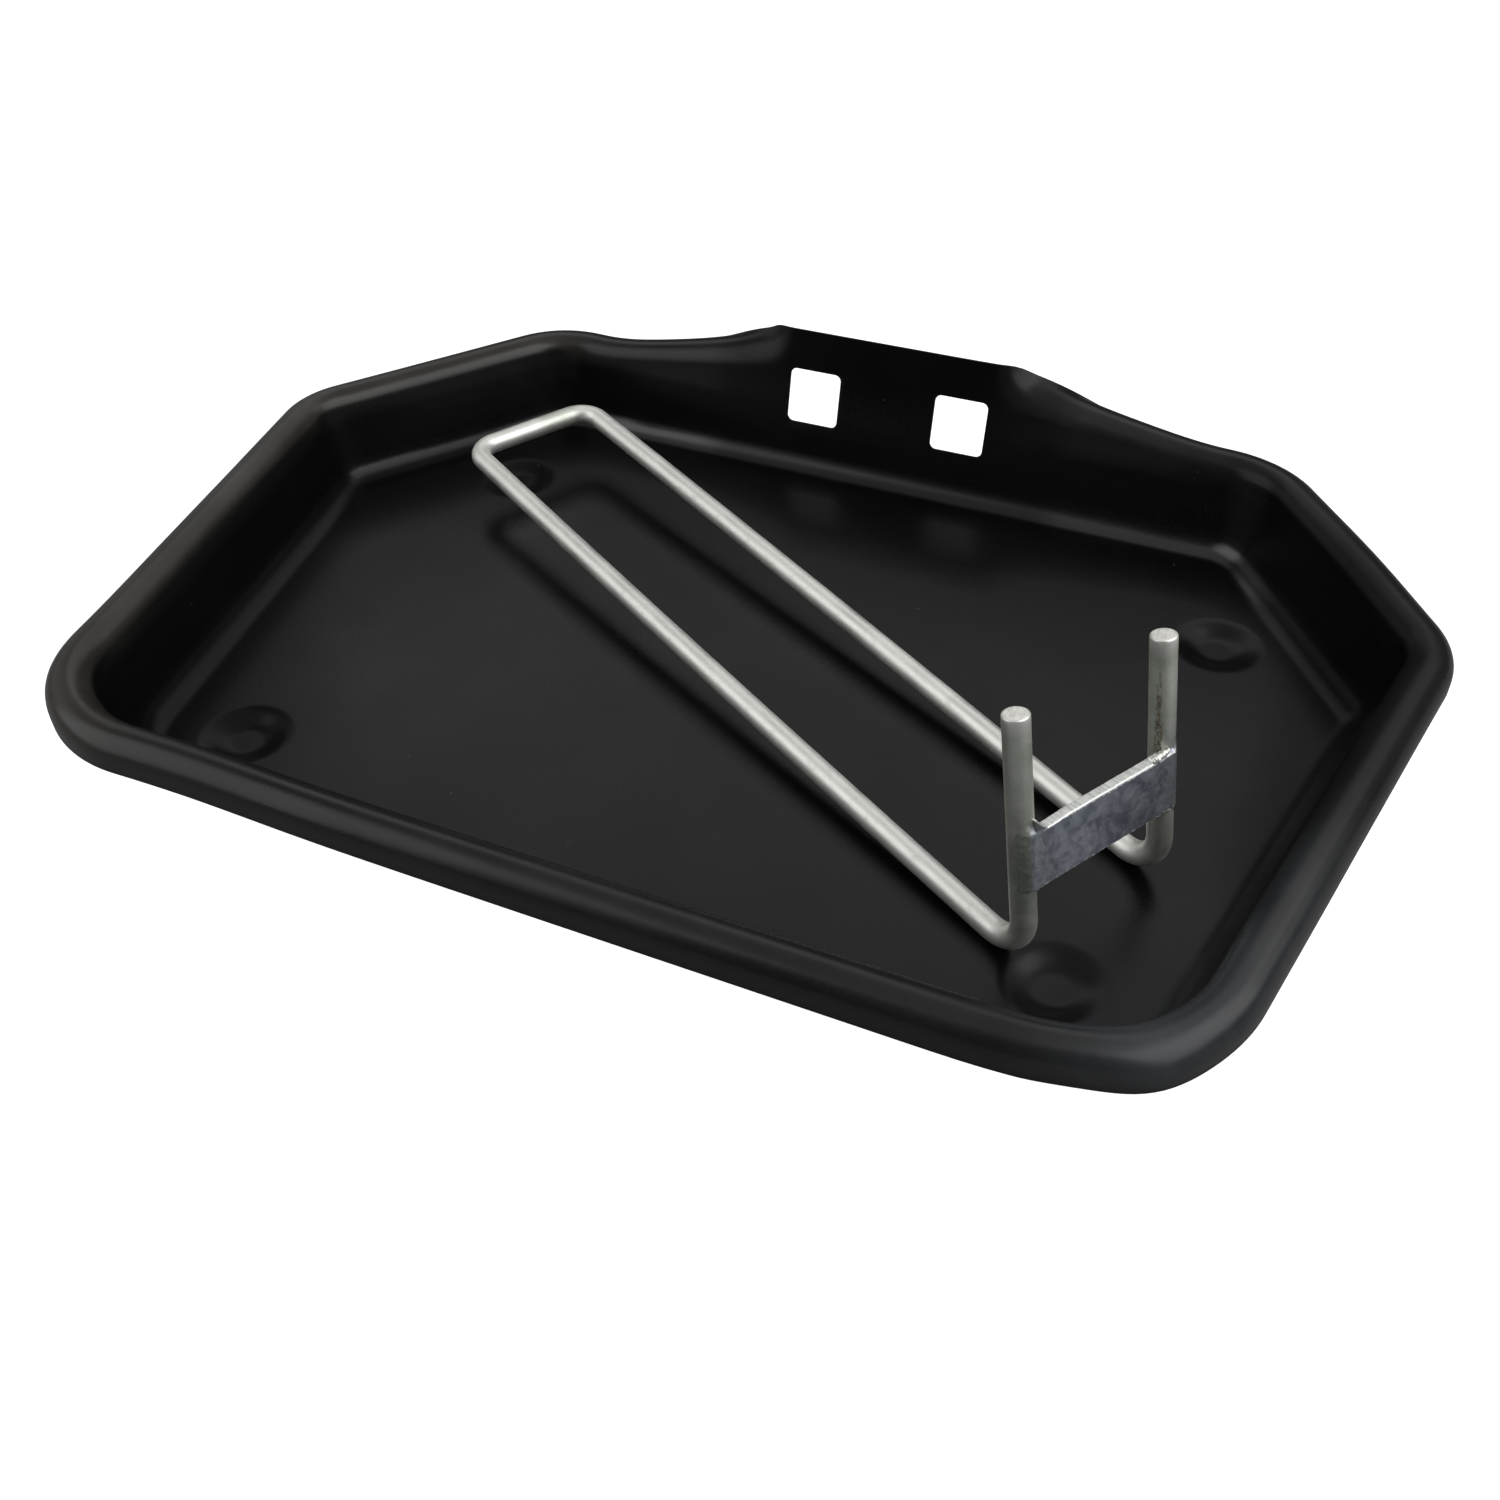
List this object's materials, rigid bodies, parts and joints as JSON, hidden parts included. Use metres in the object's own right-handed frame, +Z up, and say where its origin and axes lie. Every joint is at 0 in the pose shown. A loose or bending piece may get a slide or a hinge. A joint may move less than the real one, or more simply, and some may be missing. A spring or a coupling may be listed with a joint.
{
  "type": "paint tray",
  "caption": "Shallow polygonal pressed steel paint tray with a rolled rim and a raised back tab with square slots, holding a loose bent-rod hanging bracket with a flat cross bar.",
  "frame": {"origin": "under the middle of the bounding box, level with the undersides of the four pressed feet", "axes": "+X to the right along the straight front edge, +Y from the front edge to the raised back tab, +Z up out of the tray"},
  "size_m": [0.4108, 0.2836, 0.0805],
  "materials": {
    "tray_black_paint": "satin black powder coat",
    "zinc_rod": "dull zinc plate",
    "bar_steel": "blue-grey mill scale, darkened by welding",
    "weld_steel": "plated weld metal with heat tint"
  },
  "bodies": {
    "tray": {"tray_pan": "tray_black_paint"},
    "bracket": {"bracket_rod": "zinc_rod", "cross_plate": "bar_steel", "weld_left_top": "weld_steel", "weld_left_bottom": "weld_steel", "weld_right_top": "weld_steel", "weld_right_bottom": "weld_steel"}
  },
  "joints": [
    {"name": "bracket_lift", "type": "slide", "parent": "tray", "child": "bracket", "axis": [0, 0, 1], "range_m": [0, 0.12]}
  ]
}
